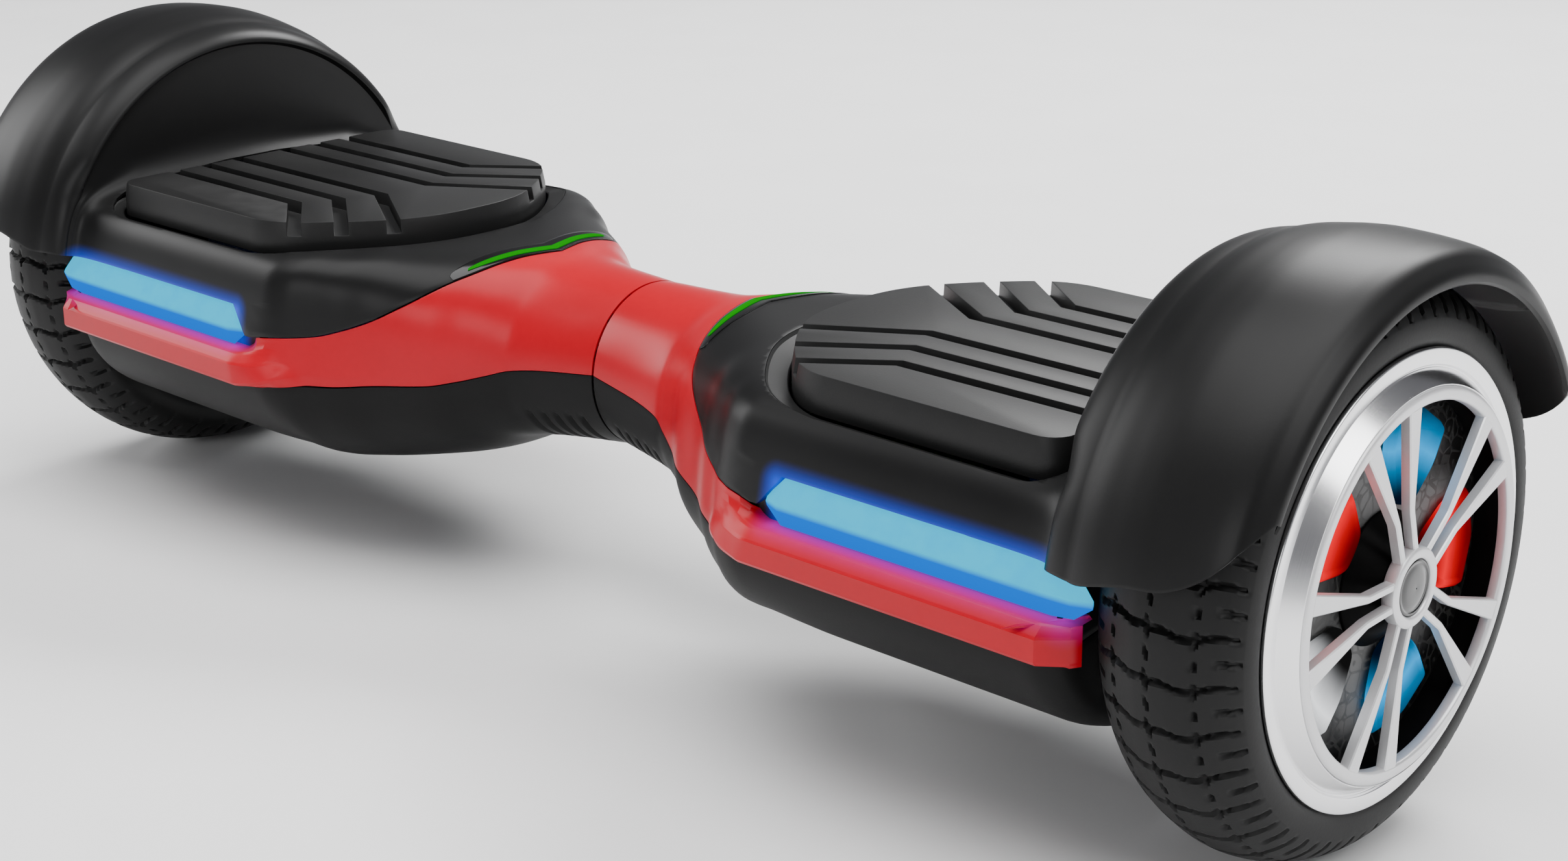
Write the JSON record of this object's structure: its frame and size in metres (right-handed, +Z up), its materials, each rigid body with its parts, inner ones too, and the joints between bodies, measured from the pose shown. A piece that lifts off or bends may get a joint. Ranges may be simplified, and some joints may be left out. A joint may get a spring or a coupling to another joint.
{
  "type": "self balancing hoverboard",
  "caption": "Two-wheeled self balancing board with twisting halves, hub motor wheels under fenders, ribbed foot pads and light bars.",
  "frame": {"origin": "on the ground, midway between the wheels and between front and rear", "axes": "+X along the axles to the right wheel, +Y to the rear, +Z up"},
  "size_m": [0.58, 0.1814, 0.1748],
  "materials": {
    "shell_black": "satin moulded plastic",
    "shell_lower": "satin moulded plastic",
    "trim_red": "gloss plastic",
    "lamp_bar": "lit diffuser",
    "lamp_green": "lit diffuser",
    "chassis_alloy": "cast",
    "fastener_steel": "zinc plated",
    "pad_rubber": "moulded rubber",
    "board_green": "circuit board",
    "stator_core": "wound core",
    "tyre_rubber": "solid rubber",
    "rim_alloy": "machined",
    "motor_cover": "machined",
    "bearing_steel": "ground",
    "magnet_steel": "nickel plated",
    "spoke_silver": "satin",
    "cap_black": "gloss plastic",
    "lamp_board": "black board",
    "lens_red": "lit lens",
    "lens_cyan": "lit lens",
    "lens_white": "lit lens",
    "wire_sleeve": "braided sleeve",
    "battery_wrap": "heat shrink wrap",
    "port_black": "moulded plastic",
    "bush_bronze": "sintered",
    "port_rubber": "soft rubber",
    "button_silver": "satin"
  },
  "bodies": {
    "right_half": {"right_top_shell": "shell_black", "right_side_trim": "trim_red", "right_bottom_shell": "shell_lower", "right_front_light": "lamp_bar", "right_rear_light": "lamp_bar", "right_status_light": "lamp_green", "right_chassis": "chassis_alloy", "right_axle_clamp": "chassis_alloy", "right_clamp_bolts": "fastener_steel", "right_shell_screws": "fastener_steel", "right_sensor_board": "board_green", "right_axle": "fastener_steel", "right_stator": "stator_core", "pivot_tube": "fastener_steel", "pivot_ring": "fastener_steel", "wire_loom": "wire_sleeve", "battery": "battery_wrap", "charge_socket": "port_black"},
    "right_wheel": {"right_tyre": "tyre_rubber", "right_rim": "rim_alloy", "right_inner_cover": "motor_cover", "right_wheel_bearings": "bearing_steel", "right_magnets": "magnet_steel", "right_spoke_cover": "spoke_silver", "right_hub_cap": "cap_black", "right_led_board": "lamp_board", "right_lens_red": "lens_red", "right_lens_cyan": "lens_cyan", "right_lens_white": "lens_white"},
    "right_pad": {"right_foot_pad": "pad_rubber"},
    "left_half": {"left_top_shell": "shell_black", "left_side_trim": "trim_red", "left_bottom_shell": "shell_lower", "left_front_light": "lamp_bar", "left_rear_light": "lamp_bar", "left_status_light": "lamp_green", "left_chassis": "chassis_alloy", "left_axle_clamp": "chassis_alloy", "left_clamp_bolts": "fastener_steel", "left_shell_screws": "fastener_steel", "left_sensor_board": "board_green", "left_axle": "fastener_steel", "left_stator": "stator_core", "pivot_bush": "bush_bronze", "control_board": "board_green", "button_bezel": "port_black"},
    "left_wheel": {"left_tyre": "tyre_rubber", "left_rim": "rim_alloy", "left_inner_cover": "motor_cover", "left_wheel_bearings": "bearing_steel", "left_magnets": "magnet_steel", "left_spoke_cover": "spoke_silver", "left_hub_cap": "cap_black", "left_led_board": "lamp_board", "left_lens_red": "lens_red", "left_lens_cyan": "lens_cyan", "left_lens_white": "lens_white"},
    "left_pad": {"left_foot_pad": "pad_rubber"},
    "charge_flap": {"charge_cap": "port_rubber"},
    "button": {"power_button": "button_silver"}
  },
  "joints": [
    {"name": "twist", "type": "hinge", "parent": "right_half", "child": "left_half", "pos_m": [0, 0, 0.084], "axis": [1, 0, 0], "range_deg": [-15, 15]},
    {"name": "right_wheel_spin", "type": "hinge", "parent": "right_half", "child": "right_wheel", "pos_m": [0.2595, 0, 0.0825], "axis": [1, 0, 0], "continuous": true},
    {"name": "left_wheel_spin", "type": "hinge", "parent": "left_half", "child": "left_wheel", "pos_m": [-0.2595, 0, 0.0825], "axis": [1, 0, 0], "continuous": true},
    {"name": "right_pad_press", "type": "slide", "parent": "right_half", "child": "right_pad", "axis": [0, 0, -1], "range_m": [0, 0.0015], "stiffness_N_per_m": 8000, "springref_m": -0.0015},
    {"name": "left_pad_press", "type": "slide", "parent": "left_half", "child": "left_pad", "axis": [0, 0, -1], "range_m": [0, 0.0015], "stiffness_N_per_m": 8000, "springref_m": -0.0015},
    {"name": "charge_flap_hinge", "type": "hinge", "parent": "right_half", "child": "charge_flap", "pos_m": [0.165, 0.0763, 0.0679], "axis": [1, 0, 0], "range_deg": [0, 90]},
    {"name": "button_press", "type": "slide", "parent": "left_half", "child": "button", "axis": [0, -1, 0], "range_m": [0, 0.0015], "stiffness_N_per_m": 500, "springref_m": -0.0006}
  ]
}
